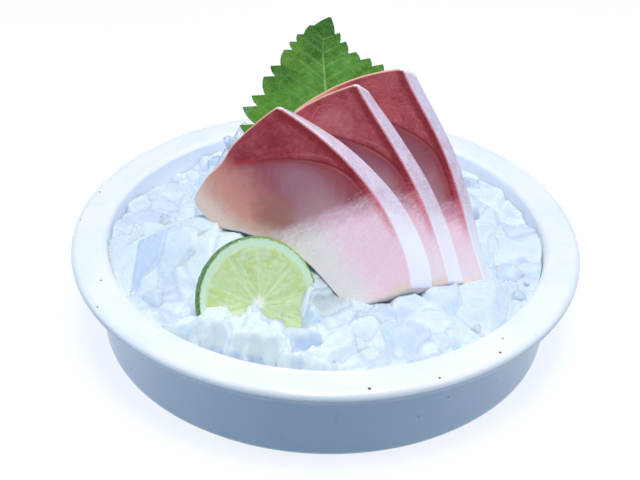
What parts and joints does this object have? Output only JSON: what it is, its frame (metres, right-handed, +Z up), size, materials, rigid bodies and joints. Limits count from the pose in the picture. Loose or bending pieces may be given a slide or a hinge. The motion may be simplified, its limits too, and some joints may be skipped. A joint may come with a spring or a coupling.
{
  "type": "sashimi plate",
  "caption": "Yellowtail sashimi slices fanned upright on crushed ice in a round white flat-rimmed bowl, with a lime slice and a shiso leaf.",
  "frame": {"origin": "on the table, at the bowl's axis, under the foot ring", "axes": "+Z up along the bowl's axis; the fish slices and the lime face -Y, the slices fan out towards +X"},
  "size_m": [0.2098, 0.2098, 0.121],
  "materials": {
    "glaze": "satin white glaze with a few iron specks",
    "ice": "wet crushed ice",
    "fish": "moist raw fish flesh",
    "lime": "wet cut citrus",
    "leaf": "soft leaf"
  },
  "bodies": {
    "root": {"bowl": "glaze", "ice_bed": "ice", "slice_front": "fish", "slice_middle": "fish", "slice_back": "fish", "lime_slice": "lime", "shiso_leaf": "leaf"}
  },
  "joints": []
}
